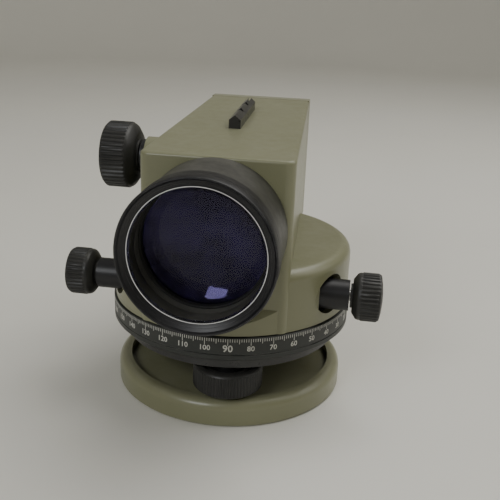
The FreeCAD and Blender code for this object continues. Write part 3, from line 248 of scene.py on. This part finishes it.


# the dust values lighten upward faces: partly settled dust, partly a painted top highlight
finishes = {
    "green_paint": {"colour": (0.205, 0.208, 0.120), "second": (0.222, 0.224, 0.134), "patchScale": 26,
                    "rough": (0.30, 0.42), "grainScale": 900, "bump": 0.22, "bumpHeight": 0.03,
                    "speck": 0.12, "speckColour": (0.12, 0.12, 0.07), "edge": (0.30, 0.30, 0.22),
                    "edgeAmount": 0.35, "dustAndTopLight": 0.16,
                    "shader": {"Coat Weight": 0.25, "Coat Roughness": 0.22, "Specular IOR Level": 0.5}},
    "dark_paint": {"colour": (0.016, 0.016, 0.017), "second": (0.024, 0.024, 0.025), "patchScale": 60,
                   "rough": (0.24, 0.38), "grainScale": 1400, "bump": 0.2, "bumpHeight": 0.02,
                   "edge": (0.16, 0.15, 0.13), "edgeAmount": 0.5, "edgeWidth": 0.3, "dustAndTopLight": 0.10,
                   "shader": {"Coat Weight": 0.2, "Coat Roughness": 0.2}},
    "circle_black": {"colour": (0.020, 0.023, 0.021), "second": (0.028, 0.031, 0.029), "patchScale": 70,
                     "rough": (0.36, 0.5), "grainScale": 700, "bump": 0.16, "bumpHeight": 0.02,
                     "stretch": (0.2, 0.2, 4.0), "edge": (0.2, 0.2, 0.19), "edgeAmount": 0.4,
                     "edgeWidth": 0.3, "dustAndTopLight": 0.08},
    "barrel_black": {"colour": (0.030, 0.030, 0.027), "second": (0.042, 0.042, 0.037), "patchScale": 45,
                     "rough": (0.34, 0.48), "grainScale": 1500, "bump": 0.3, "bumpHeight": 0.03,
                     "speck": 0.3, "speckColour": (0.05, 0.05, 0.045), "dustAndTopLight": 0.14},
    "bezel_black": {"colour": (0.004, 0.004, 0.006), "second": (0.007, 0.007, 0.010), "patchScale": 70,
                    "rough": (0.34, 0.46), "grainScale": 500, "bump": 0.12, "bumpHeight": 0.015,
                    "stretch": (0.15, 6.0, 0.15), "edge": (0.20, 0.20, 0.21), "edgeAmount": 0.45,
                    "edgeWidth": 0.3},
    "knob_black": {"colour": (0.012, 0.012, 0.012), "second": (0.020, 0.020, 0.019), "patchScale": 90,
                   "rough": (0.36, 0.52), "grainScale": 1800, "bump": 0.28, "bumpHeight": 0.03,
                   "speck": 0.35, "speckColour": (0.05, 0.05, 0.048), "dustAndTopLight": 0.12},
    "steel": {"colour": (0.50, 0.50, 0.49), "second": (0.42, 0.42, 0.42), "patchScale": 160,
              "rough": (0.22, 0.38), "grainScale": 900, "bump": 0.15, "bumpHeight": 0.015,
              "shader": {"Metallic": 1.0}},
    "brass": {"colour": (0.60, 0.43, 0.17), "second": (0.48, 0.33, 0.13), "patchScale": 120,
              "rough": (0.24, 0.40), "grainScale": 800, "bump": 0.15, "bumpHeight": 0.015,
              "stretch": (0.3, 0.3, 5.0), "shader": {"Metallic": 1.0}},
    "bright_alloy": {"colour": (0.66, 0.67, 0.70), "second": (0.56, 0.57, 0.60), "patchScale": 140,
                     "rough": (0.14, 0.26), "grainScale": 900, "bump": 0.1, "bumpHeight": 0.01,
                     "stretch": (0.2, 5.0, 0.2), "shader": {"Metallic": 1.0}},
    "inner_black": {"colour": (0.006, 0.006, 0.006), "second": (0.011, 0.011, 0.011), "patchScale": 80,
                    "rough": (0.6, 0.8), "grainScale": 1400, "bump": 0.3, "bumpHeight": 0.03},
    # coated_glass: the violet second-colour patches and the paler specks are painted reflections on the
    # dark coated lens
    "coated_glass": {"colour": (0.003, 0.003, 0.005), "second": (0.020, 0.015, 0.050), "patchScale": 70,
                     "rough": (0.02, 0.06), "grainScale": 60, "bump": 0.10, "bumpHeight": 0.04,
                     "speck": 0.10, "speckScale": 900, "roughScale": 90,
                     "speckColour": (0.03, 0.03, 0.05),
                     "shader": {"Specular IOR Level": 0.30, "Specular Tint": (0.62, 0.55, 1.0, 1),
                                "Coat Weight": 0.12, "Coat Roughness": 0.03,
                                "Coat Tint": (0.75, 0.72, 1.0, 1)}},
    "front_glass": {"colour": (0.88, 0.86, 0.98), "second": (0.80, 0.77, 0.96), "patchScale": 40,
                    "rough": (0.0, 0.03), "grainScale": 60, "bump": 0.01, "bumpHeight": 0.01,
                    "speck": 0.10, "speckScale": 1400,
                    "shader": {"Transmission Weight": 1.0, "IOR": 1.22, "Specular IOR Level": 0.15}},
    "clear_glass": {"colour": (0.86, 0.90, 0.90), "second": (0.80, 0.86, 0.86), "patchScale": 30,
                    "rough": (0.02, 0.05), "grainScale": 60, "bump": 0.01, "bumpHeight": 0.01,
                    "speck": 0.02, "shader": {"Transmission Weight": 0.9, "IOR": 1.52}},
    "vial_glass": {"colour": (0.52, 0.68, 0.08), "second": (0.44, 0.60, 0.06), "patchScale": 120,
                   "rough": (0.02, 0.06), "grainScale": 90, "bump": 0.01, "bumpHeight": 0.01,
                   "speck": 0.02, "shader": {"Transmission Weight": 0.55, "IOR": 1.38}},
    "rubber": {"colour": (0.018, 0.018, 0.018), "second": (0.027, 0.026, 0.025), "patchScale": 70,
               "rough": (0.62, 0.8), "grainScale": 1500, "bump": 0.45, "bumpHeight": 0.05, "dustAndTopLight": 0.12,
               "shader": {"Sheen Weight": 0.2, "Sheen Roughness": 0.5}},
    "mirror_face": {"colour": (0.86, 0.87, 0.88), "second": (0.80, 0.81, 0.83), "patchScale": 60,
                    "rough": (0.03, 0.07), "grainScale": 90, "bump": 0.01, "bumpHeight": 0.01,
                    "shader": {"Metallic": 1.0}},
    "scale_white": {"colour": (0.66, 0.66, 0.62), "second": (0.54, 0.54, 0.50), "patchScale": 300,
                    "rough": (0.45, 0.6), "grainScale": 2400, "bump": 0.2, "bumpHeight": 0.01},
    # lighter copy of green_paint for the rear cover: a painted highlight on the cover's top strip
    "cover_paint_lit_copy": {"colour": (0.235, 0.235, 0.150), "second": (0.255, 0.252, 0.165), "patchScale": 26,
                    "rough": (0.30, 0.42), "grainScale": 900, "bump": 0.22, "bumpHeight": 0.03,
                    "speck": 0.12, "speckColour": (0.12, 0.12, 0.07), "edge": (0.32, 0.32, 0.24),
                    "edgeAmount": 0.35, "dustAndTopLight": 0.16,
                    "shader": {"Coat Weight": 0.25, "Coat Roughness": 0.22}},
}
materials = {name: buildFinish(name, look) for name, look in finishes.items()}
slotOf = {part["node"]: part["material_slot"] for part in frame["record"]["subparts"]}
for nodeName, node in frame["nodes"].items():
    finishName = "cover_paint_lit_copy" if nodeName == "rear_cover" else slotOf[nodeName]
    node.data.materials.clear()
    node.data.materials.append(materials[finishName])
print("finishes:", len(materials))


# graduated circle

circle = {"outer": 58.0, "inner": 54.0, "low": 34.6, "high": 45.5, "groove": 37.4, "steps": 180,
          "seat": 49.7, "web": 3.2, "tickTop": 45.1, "tickWidth": 0.26, "tickStand": 0.04, "short": 1.5,
          "middle": 2.3, "long": 3.1, "figureHeight": 2.5, "figureCentre": 40.35,
          "rightAngleHeight": 3.3, "ninetyAt": -81.53}


def circleRing(size):
    names = ("outer", "inner", "low", "high", "groove", "seat")
    outer, inner, low, high, groove, seat = (size[name] for name in names)
    outline = [(seat, low), (outer - 0.5, low), (outer, low + 0.5), (outer, groove - 0.35),
               (outer - 0.3, groove - 0.1), (outer - 0.3, groove + 0.1), (outer, groove + 0.35),
               (outer, high - 0.4), (outer - 0.4, high), (inner, high), (inner, low + size["web"]),
               (seat, low + size["web"])]
    return turnedShape(outline, size["steps"], "z", Vector((0, 0, 0)))


def circleTicks(size):
    bm = bmesh.new()
    for degree in range(360):
        length = size["long"] if degree % 10 == 0 else size["middle"] if degree % 5 == 0 else size["short"]
        turn = Matrix.Rotation(radians(size["ninetyAt"] + 90 - degree), 4, "Z")
        place = turn @ Vector((size["outer"], 0, size["tickTop"] - length / 2))
        addBar(bm, (2 * size["tickStand"], size["tickWidth"], length), place, turn)
    return bm


def circleFigures(size):
    bm = bmesh.new()
    for degree in range(0, 360, 10):
        letters = bpy.data.curves.new("figure", "FONT")
        letters.body = str(degree)
        letters.align_x, letters.align_y = "CENTER", "CENTER"
        bold = degree % 90 == 0
        letters.size = (size["rightAngleHeight"] if bold else size["figureHeight"]) * 1.38
        letters.offset = 0.09 if bold else 0.04
        letters.extrude = size["tickStand"]
        letters.resolution_u = 2
        holder = bpy.data.objects.new("figure", letters)
        mesh = bpy.data.meshes.new_from_object(holder)
        part = bmesh.new()
        part.from_mesh(mesh)
        bmesh.ops.remove_doubles(part, verts=part.verts, dist=1e-5)
        middle = radians(size["ninetyAt"] + 90 - degree)
        for vert in part.verts:  # wraps the flat figure round the ring
            angle = middle + vert.co.x / size["outer"]
            radius = size["outer"] + vert.co.z
            vert.co = Vector((radius * cos(angle), radius * sin(angle),
                              size["figureCentre"] + vert.co.y)) * mm
        made = bpy.data.meshes.new("figure")
        part.to_mesh(made)
        part.free()
        bm.from_mesh(made)
        bpy.data.objects.remove(holder)
        for spare in (mesh, made):
            bpy.data.meshes.remove(spare)
        bpy.data.curves.remove(letters)
    return bm


finishPiece("circle_ring", circleRing(circle), "circle", materials["circle_black"],
            ["horizontal_circle"])
finishPiece("circle_ticks", circleTicks(circle), "circle", materials["scale_white"], smooth=False)
finishPiece("circle_figures", circleFigures(circle), "circle", materials["scale_white"], smooth=False)
print("graduated circle done")


# foot screws

footWheel = {"ribs": 64, "ribDepth": 0.45, "radius": 16.0, "low": 14.0, "high": 26.0, "cup": 12.6,
             "cupFloor": 20.0, "collarOuter": 10.6, "collarInner": 8.4, "collarTop": 24.4, "bore": 4.0}


def footWheelShape(size, centre):
    radius, low, high, depth = size["radius"], size["low"], size["high"], size["ribDepth"]
    levels = [(size["bore"], low, 0), (radius - 2.2, low, 0), (radius - 1.3, low + 0.3, 0),
              (radius - 0.3, low + 1.2, 0), (radius, low + 1.5, depth), (radius, high - 1.5, depth),
              (radius - 0.25, high - 1.1, 0), (radius - 0.7, high - 0.35, 0), (radius - 1.4, high, 0),
              (size["cup"] + 0.3, high, 0), (size["cup"], high - 0.3, 0),
              (size["cup"], size["cupFloor"], 0), (size["collarOuter"], size["cupFloor"], 0),
              (size["collarOuter"], size["collarTop"] - 0.5, 0),
              (size["collarOuter"] - 0.5, size["collarTop"], 0),
              (size["collarInner"] + 0.3, size["collarTop"], 0),
              (size["collarInner"], size["collarTop"] - 0.3, 0),
              (size["collarInner"], size["cupFloor"], 0), (size["bore"], size["cupFloor"], 0),
              (size["bore"], low, 0)]
    return ribbedShape(levels, size["ribs"], "z", Vector((centre.x, centre.y, 0)))


for number in (1, 2, 3):
    node = "foot_knob_%d" % number
    finishPiece("foot_wheel_%d" % number, footWheelShape(footWheel, centreOf(node)),
                "foot_screw_%d" % number, materials["knob_black"], [node])
print("foot screws done")


# focusing and tangent knobs, all ribbed along their axis

focusGrip = {"ribs": 44, "ribDepth": 0.7, "radius": 16.0, "start": 48.19, "length": 15.4, "dome": 1.6,
             "ribsFrom": 0.28, "hub": 0.9}
tangentGrip = {"ribs": 36, "ribDepth": 0.55, "radius": 11.0, "start": 59.8, "length": 12.0, "dome": 1.5,
               "ribsFrom": 0.36, "hub": 0.9}


def gripShape(size, axis, centre):
    radius, start, length, depth = size["radius"], size["start"], size["length"], size["ribDepth"]
    dome = size["dome"]
    ribStart = start + size["ribsFrom"] * length
    end = start + length
    levels = [(0.001, start - size["hub"], 0), (0.5 * radius, start - size["hub"], 0),
              (0.5 * radius, start, 0), (0.68 * radius, start, 0),
              (0.74 * radius, start + 0.03 * length, 0), (0.92 * radius, start + 0.15 * length, 0),
              (0.97 * radius - depth * 0.3, start + 0.20 * length, 0),
              (radius - depth * 0.6, start + 0.25 * length, 0),
              (radius - depth * 0.6, ribStart - 0.5, 0), (radius, ribStart, depth),
              (radius, end - 1.0, depth), (radius - 0.35, end - 0.4, depth * 0.6),
              (0.95 * radius, end, 0), (0.93 * radius, end + 0.22 * dome, 0),
              (0.88 * radius, end + 0.30 * dome, 0), (0.86 * radius, end + 0.22 * dome, 0),
              (0.82 * radius, end + 0.42 * dome, 0), (0.60 * radius, end + 0.72 * dome, 0),
              (0.32 * radius, end + 0.94 * dome, 0), (0.001, end + dome, 0)]
    return ribbedShape(levels, size["ribs"], axis, centre)


focusCentre = centreOf("focus_knob")
finishPiece("focus_grip", gripShape(focusGrip, "-x", Vector((0, focusCentre.y, focusCentre.z))),
            "focus_drive", materials["knob_black"], ["focus_knob"])
for side in ("left", "right"):
    node = "tangent_knob_" + side
    middle = centreOf(node)
    axis = "x" if middle.x > 0 else "-x"
    finishPiece("tangent_grip_" + side, gripShape(tangentGrip, axis, Vector((0, middle.y, middle.z))),
                "tangent_screw", materials["knob_black"], [node])
print("knobs done")


# objective end

objective = {"height": 91.1, "front": -86.8, "rear": -76.2, "radius": 31.75, "thread": 28.4,
             "tip": -84.0, "lip": 27.6, "lipInner": 26.75, "bore": 26.6, "bulge": 2.6, "tube": 31,
             "tubeRear": -49.5, "spigot": 26.9, "spigotRear": -46.5, "throat": 24.2, "seatOuter": 26.55,
             "seatInner": 25.65, "glassEdge": 26.5, "glassDepth": 2.0, "hollowDepth": 2.4,
             "hollowBack": 4.3, "hollowBackRadius": 14, "grooves": 4, "groovePitch": 1.15,
             "glassRadius": 25.5, "hollowCurve": 52, "hollowRadius": 25.4}
glassFront = boxOf("lens_retaining_ring")[1].y / mm
glassSeat = boxOf("objective_rear_lens")[1].y / mm
sightPoint = Vector((0, 0, objective["height"] * mm))


def bezelShape(size):
    front, rear, radius, lip, tip = (size[key] for key in ("front", "rear", "radius", "lip", "tip"))
    outline = [(radius - 0.75, front), (radius - 0.22, front + 0.12), (radius, front + 0.6),
               (radius, front + 5.2), (radius - 0.14, front + 5.3), (radius - 0.14, front + 5.5),
               (radius, front + 5.6), (radius, rear - 0.3), (radius - 0.3, rear),
               (size["thread"], rear), (size["thread"], tip), (lip, tip), (lip + 0.25, tip - 0.25),
               (lip + 1.3, tip - 0.9), (lip + 1.35, tip - 1.05), (lip + 2.6, tip - 1.9),
               (lip + 2.65, tip - 2.05)]
    return turnedShape(outline, 144, "y", sightPoint)


def lipShape(size):
    inner, outer, tip = size["lipInner"] - 0.15, size["lip"], size["tip"]
    outline = [(inner, tip + 1.1), (inner, tip + 0.75), (outer - 0.4, tip - 0.3),
               (outer - 0.05, tip - 0.3), (outer - 0.05, tip + 1.1)]
    return turnedShape(outline, 144, "y", sightPoint)


def barrelShape(size):
    thread, tip, rear, bore = size["thread"], size["tip"], size["rear"], size["bore"]
    tube, tubeRear, throat = size["tube"], size["tubeRear"], size["throat"]
    spigot, spigotRear = size["spigot"], size["spigotRear"]
    outline = [(size["lip"], tip), (thread, tip), (thread, rear), (tube - 0.2, rear),
               (tube, rear + 0.2), (tube, tubeRear), (spigot, tubeRear), (spigot, spigotRear),
               (throat, spigotRear), (throat, glassSeat), (bore, glassSeat), (bore, glassFront - 2.5)]
    for groove in range(size["grooves"]):  # anti-glare grooves inside the bore
        along = glassFront - 2.9 - groove * size["groovePitch"]
        outline += [(bore, along), (bore + 0.25, along - 0.3), (bore + 0.25, along - 0.6),
                    (bore, along - 0.85)]
    return turnedShape(outline + [(bore, tip + 1.5)], 144, "y", sightPoint)


def domeOutline(radius, front, bulge, rear, steps=14):
    # half outline of a lens: domed front, flat back
    curve = (radius ** 2 + bulge ** 2) / (2 * bulge)
    outline = [(0, front - bulge)]
    for step in range(1, steps + 1):
        across = radius * step / steps
        outline.append((across, front - bulge + curve - (curve ** 2 - across ** 2) ** 0.5))
    return outline + [(radius + 1, front), (radius + 1, rear), (0, rear)]


def seatRingShape(size):
    front = boxOf("lens_retaining_ring")[0].y / mm
    outer, inner = size["seatOuter"], size["seatInner"]
    outline = [(outer, front), (inner + 0.35, front), (inner, front + 0.4), (inner, glassFront),
               (outer, glassFront)]
    return turnedShape(outline, 96, "y", sightPoint)


def hollowOutline(size, steps=14):
    # rear element: hollow front face, coated
    curve, edge, front = size["hollowCurve"], size["hollowRadius"], glassFront + size["hollowDepth"]
    wide, back = size["glassEdge"], glassSeat + size["hollowBack"]
    lowest = (curve ** 2 - edge ** 2) ** 0.5
    outline = []
    for step in range(steps + 1):
        across = edge * step / steps
        outline.append((across, front + (curve ** 2 - across ** 2) ** 0.5 - lowest))
    return outline + [(wide, front), (wide, glassSeat - 0.1), (size["throat"] - 0.2, glassSeat - 0.1),
                      (size["hollowBackRadius"], back), (0, back)]


finishPiece("objective_rim", bezelShape(objective), "alidade", materials["bezel_black"],
            ["objective_bezel"])
finishPiece("objective_lip", lipShape(objective), "alidade", materials["bright_alloy"])
finishPiece("objective_barrel", barrelShape(objective), "alidade", materials["barrel_black"],
            ["objective_tube"])
glass = turnedShape(domeOutline(objective["glassRadius"], glassFront, objective["bulge"],
                                glassFront + objective["glassDepth"]),
                    96, "y", sightPoint, closed=False)
finishPiece("objective_glass", glass, "alidade", materials["front_glass"], ["objective_front_lens"])
finishPiece("lens_seat_ring", seatRingShape(objective), "alidade", materials["inner_black"],
            ["lens_retaining_ring"])
hollow = turnedShape(hollowOutline(objective), 96, "y", sightPoint, closed=False)
finishPiece("objective_doublet", hollow, "alidade", materials["coated_glass"], ["objective_rear_lens"])
print("objective done")


# eyepiece end

eyepiece = {"ribs": 48, "ribDepth": 0.5, "radius": 17.5, "bore": 13.05, "front": 91.0, "rear": 107.0,
            "capRear": 112.9, "lip": 2.7, "lipBore": 11.1}


def diopterShape(size):
    radius, front, rear, depth = size["radius"], size["front"], size["rear"], size["ribDepth"]
    levels = [(size["bore"], front, 0), (radius - 1.4, front, 0), (radius - 0.9, front + 0.3, 0),
              (radius - 0.9, front + 4.6, 0), (radius - 0.5, front + 5.0, 0),
              (radius, front + 5.3, depth), (radius, rear - 1.0, depth), (radius - 0.6, rear - 0.3, 0),
              (radius - 1.2, rear, 0), (size["lipBore"], rear, 0),
              (size["lipBore"], rear - size["lip"], 0), (size["bore"], rear - size["lip"], 0),
              (size["bore"], front, 0)]
    return ribbedShape(levels, size["ribs"], "y", sightPoint)


def diopterMarks(size):
    bm = bmesh.new()
    lift = Vector((0, 0, objective["height"]))
    for step in range(-4, 5):
        turn = Matrix.Rotation(radians(12 * step), 4, "Y")
        long = 2.4 if step == 0 else 1.5
        place = turn @ Vector((0, size["front"] + 0.8 + long / 2, size["radius"] - 0.9)) + lift
        addBar(bm, (0.35, long, 0.08), place, turn)
    return bm


def eyecupShape(size):
    # (radius, behind the cap): two grip rings, then the flared mouth and the hollow inside
    outline = [(9.4, 0), (15.4, 0), (15.4, 1.8), (14.6, 2.2), (14.4, 2.8), (15.0, 3.3), (15.0, 4.0),
               (14.3, 4.5), (14.2, 5.1), (14.9, 5.7), (15.6, 7.3), (16.3, 8.6), (16.1, 8.95),
               (15.3, 9.0), (14.4, 8.7), (13.4, 7.3), (12.5, 6.0), (11.4, 3.3), (9.4, 1.6)]
    return turnedShape([(radius, size["capRear"] + behind) for radius, behind in outline], 96, "y",
                       sightPoint)


finishPiece("diopter_grip", diopterShape(eyepiece), "diopter_ring", materials["knob_black"],
            ["diopter_ring"])
finishPiece("diopter_marks", diopterMarks(eyepiece), "diopter_ring", materials["scale_white"],
            smooth=False)
finishPiece("eyecup_rubber", eyecupShape(eyepiece), "eyepiece", materials["rubber"], ["eyecup"])
print("eyepiece done")


# circular level

levelLow, levelHigh = boxOf("level_vial")
vialCentre = (levelLow + levelHigh) / 2
vial = {"radius": 6.15, "depth": 5.0, "bulge": 0.55, "bubble": 1.9, "ring": 2.6,
        "bubbleAt": (0.6, -0.4, -0.1)}


def vialShape(size):
    top = levelHigh.z / mm
    outline = [(0, top - size["depth"]), (size["radius"], top - size["depth"]),
               (size["radius"], top - size["bulge"])]
    for step in range(8, -1, -1):
        across = size["radius"] * step / 9
        outline.append((across, top - size["bulge"] * (across / size["radius"]) ** 2))
    return turnedShape(outline, 64, "z", Vector((vialCentre.x, vialCentre.y, 0)), closed=False)


def bubbleShape(size):
    bm = bmesh.new()
    bmesh.ops.create_uvsphere(bm, u_segments=32, v_segments=16, radius=size["bubble"] * mm)
    bmesh.ops.scale(bm, vec=(1, 1, 0.32), verts=bm.verts)
    place = Vector((vialCentre.x, vialCentre.y, levelHigh.z)) + Vector(size["bubbleAt"]) * mm
    bmesh.ops.translate(bm, vec=place, verts=bm.verts)
    return bm


def vialRing(size):
    top = levelHigh.z / mm
    ring, line = size["ring"], 0.14
    outline = [(ring - line, top - 0.12), (ring + line, top - 0.12), (ring + line, top + 0.06),
               (ring - line, top + 0.06)]
    return turnedShape(outline, 64, "z", Vector((vialCentre.x, vialCentre.y, 0)))


finishPiece("level_glass", vialShape(vial), "alidade", materials["vial_glass"], ["level_vial"])
finishPiece("level_bubble", bubbleShape(vial), "alidade", materials["clear_glass"])
finishPiece("level_mark", vialRing(vial), "alidade", materials["bezel_black"])
print("circular level done")


# tripod thread under the base

tripod = {"outer": 9.5, "root": 7.85, "crest": 6.75, "high": 10.0, "pitch": 2.309, "steps": 32}


def tripodBush(size):
    outline = [(size["root"], 0.8), (size["root"] + 0.8, 0), (size["outer"], 0),
               (size["outer"], size["high"] - 0.4), (size["outer"] - 0.4, size["high"]),
               (size["root"] + 0.8, size["high"]), (size["root"], size["high"] - 0.8)]
    bm = turnedShape(outline, 72, "z", Vector((0, 0, 0)))
    turns = (size["high"] - 1.6) / size["pitch"] - 0.9
    half = 0.44 * size["pitch"]
    start = 0.9 + half
    points = [(size["root"] + 0.1, start - half), (size["crest"] + 0.1, start - 0.15),
              (size["crest"] + 0.1, start + 0.15), (size["root"] + 0.1, start + half)]
    verts = [bm.verts.new((radius * mm, 0, along * mm)) for radius, along in points]
    face = bm.faces.new(verts)
    bmesh.ops.spin(bm, geom=[face] + list(face.edges) + verts, cent=(0, 0, 0), axis=(0, 0, 1),
                   dvec=(0, 0, size["pitch"] * mm / size["steps"]), angle=2 * pi * turns,
                   steps=round(turns * size["steps"]))
    bmesh.ops.recalc_face_normals(bm, faces=bm.faces)
    return bm


finishPiece("tripod_insert", tripodBush(tripod), "base", materials["brass"], ["tripod_bush"],
            sharp=50)
print("tripod thread done")


# reticle lines

reticle = {"line": 0.06, "depth": 0.05, "span": 14, "stadia": 3.0, "stadiaUp": 2.6, "stand": 0.03}


def reticleLines(size):
    bm = bmesh.new()
    line, depth = size["line"], size["depth"]
    height = centreOf("reticle_glass").z / mm
    face = boxOf("reticle_glass")[0].y / mm - size["stand"]
    addBar(bm, (size["span"], depth, line), (0, face, height))
    addBar(bm, (line, depth, size["span"]), (0, face, height))
    for up in (-size["stadiaUp"], size["stadiaUp"]):
        addBar(bm, (size["stadia"], depth, line), (0, face, height + up))
    return bm


finishPiece("reticle_lines", reticleLines(reticle), "alidade", materials["inner_black"], smooth=False)


# floor, light and camera

floorLook = {"colour": (0.76, 0.75, 0.70), "second": (0.80, 0.79, 0.74), "patchScale": 1.6,
             "rough": (0.42, 0.55), "speck": 0.04, "speckScale": 300, "grainScale": 260, "bump": 0.04,
             "bumpHeight": 0.1, "roughScale": 14}
floorEdge = {"flat": 1700, "sweep": 500, "wall": 1600, "sweepSteps": 12, "steps": 96}


def floorShape(size):
    # flat in the middle, swept up into a plain wall all round
    flat, sweep, steps = size["flat"], size["sweep"], size["sweepSteps"]
    outline = [(0, 0), (flat * 0.4, 0), (flat, 0)]
    for step in range(1, steps + 1):
        bend = step / steps * pi / 2
        outline.append((flat + sweep * sin(bend), sweep * (1 - cos(bend))))
    outline.append((flat + sweep, size["wall"]))
    bm = turnedShape(outline, size["steps"], "z", Vector((0, 0, 0)), closed=False)
    for face in bm.faces:
        face.smooth = True
    bmesh.ops.reverse_faces(bm, faces=[face for face in bm.faces if face.normal.z < -0.01])
    return bm


floorMesh = floorShape(floorEdge)
floorData = bpy.data.meshes.new("floor")
floorMesh.to_mesh(floorData)
floorMesh.free()
floor = bpy.data.objects.new("floor", floorData)
bpy.context.scene.collection.objects.link(floor)
floorData.materials.append(buildFinish("pale_floor", floorLook))

lamps = {
    "skylight": {"place": (0.40, 0.30, 1.15), "size": 0.9, "power": 8.0, "colour": (1.0, 0.985, 0.95)},
    "front_soft": {"place": (-0.45, -1.05, 0.80), "size": 0.42, "power": 4.8,
                   "colour": (0.96, 0.98, 1.0)},
    "right_soft": {"place": (1.1, 0.15, 0.70), "size": 0.7, "power": 2.0, "colour": (1.0, 0.98, 0.95)},
}
lampAim = Vector((0, 0, 0.07))
for name, lamp in lamps.items():
    light = bpy.data.lights.new(name, "AREA")
    light.shape = "SQUARE"
    light.size = lamp["size"]
    light.energy = lamp["power"]
    light.color = lamp["colour"]
    holder = bpy.data.objects.new(name, light)
    holder.location = lamp["place"]
    holder.rotation_euler = (lampAim - Vector(lamp["place"])).to_track_quat("-Z", "Y").to_euler()
    bpy.context.scene.collection.objects.link(holder)

room = {"colour": (0.62, 0.60, 0.54, 1), "strength": 0.52}
world = bpy.data.worlds.new("room")
world.use_nodes = True
backdrop = world.node_tree.nodes["Background"]
backdrop.inputs["Color"].default_value = room["colour"]
backdrop.inputs["Strength"].default_value = room["strength"]
bpy.context.scene.world = world

view = {"place": (57.302, -342.457, 187.162), "forward": (-0.13351474, 0.9344201, -0.33020128),
        "right": (0.98728353, 0.15441633, 0.03777338), "up": (-0.08628467, 0.32095898, 0.94315443),
        "lens": 53.68}
cameraData = bpy.data.cameras.new("camera")
cameraData.lens = view["lens"]
cameraData.sensor_width = 36
cameraData.clip_start = 0.01
cameraData.clip_end = 60
camera = bpy.data.objects.new("camera", cameraData)
turn = Matrix((view["right"], view["up"], [-value for value in view["forward"]])).transposed().to_4x4()
camera.matrix_world = Matrix.Translation(Vector(view["place"]) * mm) @ turn
bpy.context.scene.collection.objects.link(camera)
bpy.context.scene.camera = camera
print("floor, light and camera done")
